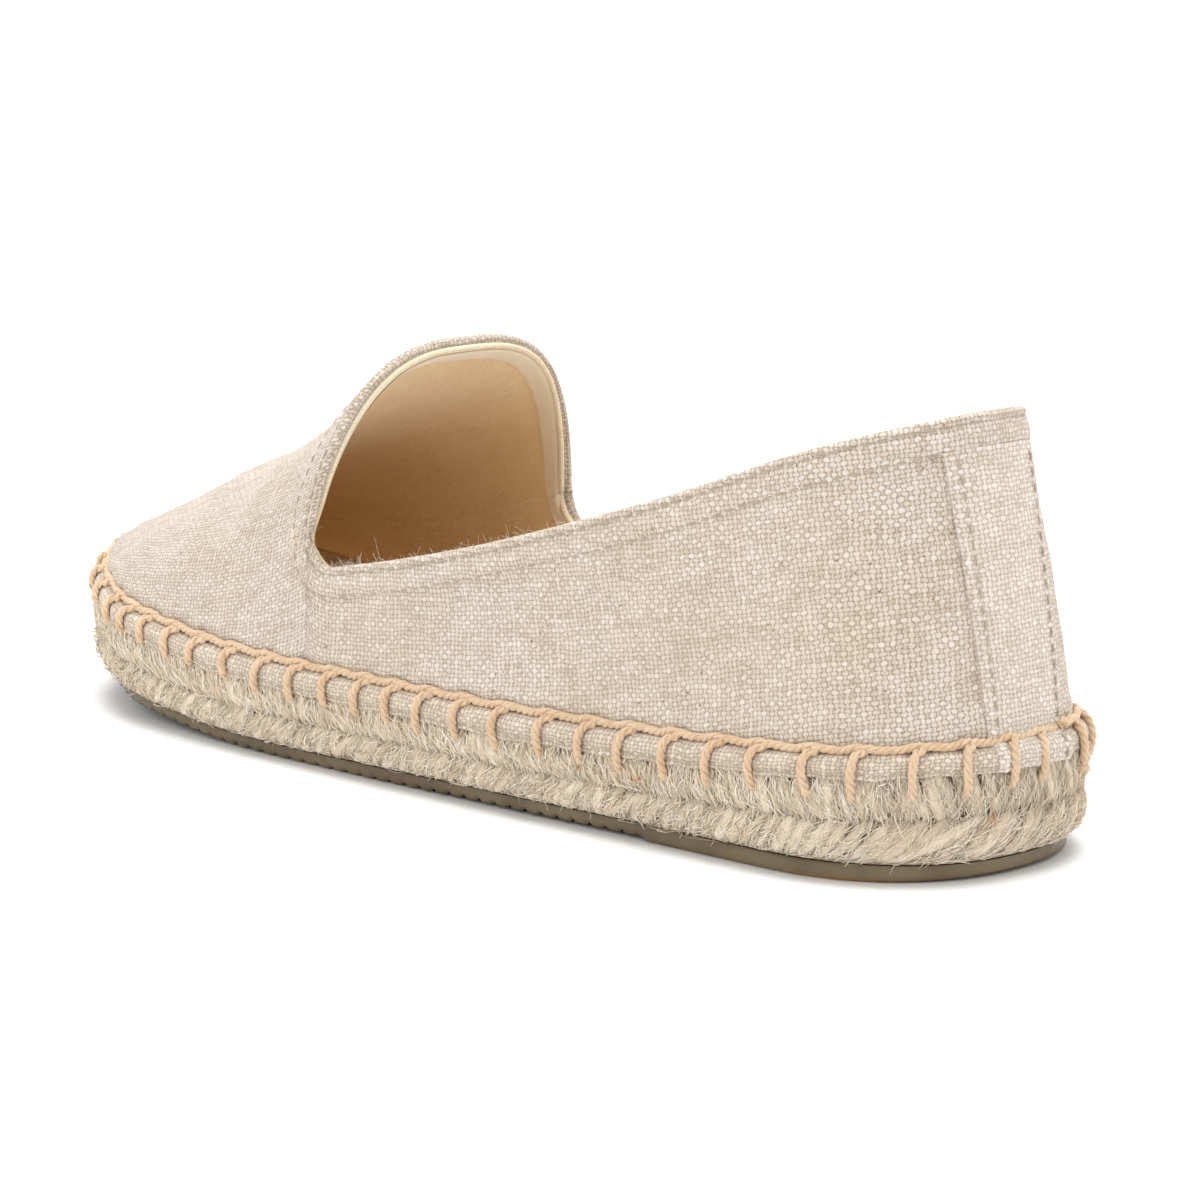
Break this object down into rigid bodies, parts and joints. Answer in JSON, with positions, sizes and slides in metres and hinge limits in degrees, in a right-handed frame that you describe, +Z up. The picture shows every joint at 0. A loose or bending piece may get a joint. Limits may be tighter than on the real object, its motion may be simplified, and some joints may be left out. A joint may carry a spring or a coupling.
{
  "type": "espadrille",
  "caption": "Left flat slip-on espadrille: linen upper with a tall round tongue, braided jute sole and thin rubber outsole.",
  "frame": {"origin": "on the floor under the middle of the shoe's bounding box", "axes": "+X from heel to toe, +Y to the wearer's left, which is the outer side of this left shoe, +Z up"},
  "size_m": [0.254, 0.0814, 0.0822],
  "materials": {
    "rubber": "smooth semi-matt olive brown rubber, ridged under the forefoot",
    "jute": "coarse braided jute fibre, matt, with stray hairs",
    "linen": "coarse plain weave natural linen with slubs, matt",
    "strip_linen": "coarse plain weave linen, a little paler",
    "lining": "fine cream cotton lining and insole cloth",
    "cord": "twisted cotton cord, pale peach tan, matt",
    "thread": "grey beige sewing thread"
  },
  "bodies": {
    "root": {"outsole": "rubber", "jute_sole": "jute", "insole": "lining", "upper": "linen", "heel_strip": "strip_linen"}
  },
  "joints": []
}
